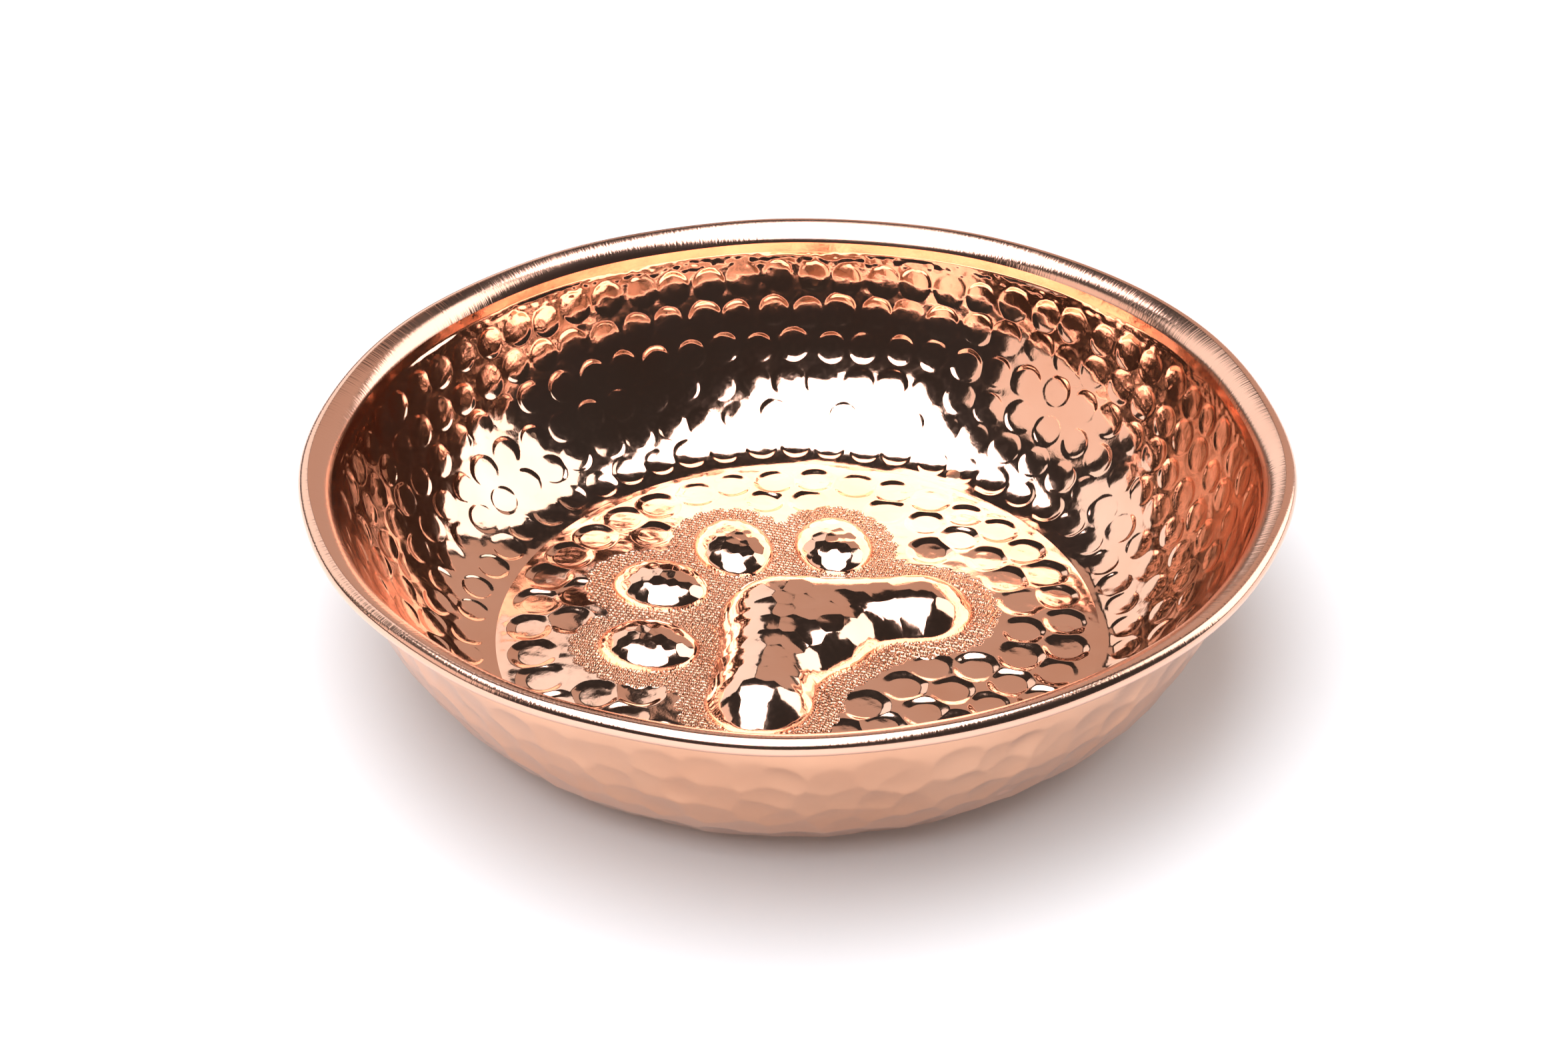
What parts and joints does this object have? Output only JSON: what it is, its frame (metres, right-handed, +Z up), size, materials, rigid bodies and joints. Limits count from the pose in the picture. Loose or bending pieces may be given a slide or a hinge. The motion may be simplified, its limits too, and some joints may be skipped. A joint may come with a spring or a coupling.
{
  "type": "hammered bowl",
  "caption": "Shallow round bowl of hammered sheet metal with a flat floor, a paw print raised in the floor and a flared lip rolled over wire.",
  "frame": {"origin": "middle of the base, on the surface the bowl stands on", "axes": "+Z up along the bowl's axis, +Y the way the paw print's toes point, +X to the print's right"},
  "size_m": [0.254, 0.254, 0.06],
  "materials": {
    "hammered_copper": null,
    "wire_steel": "drawn wire, bright"
  },
  "bodies": {
    "root": {"bowl_shell": "hammered_copper", "rim_wire": "wire_steel"}
  },
  "joints": []
}
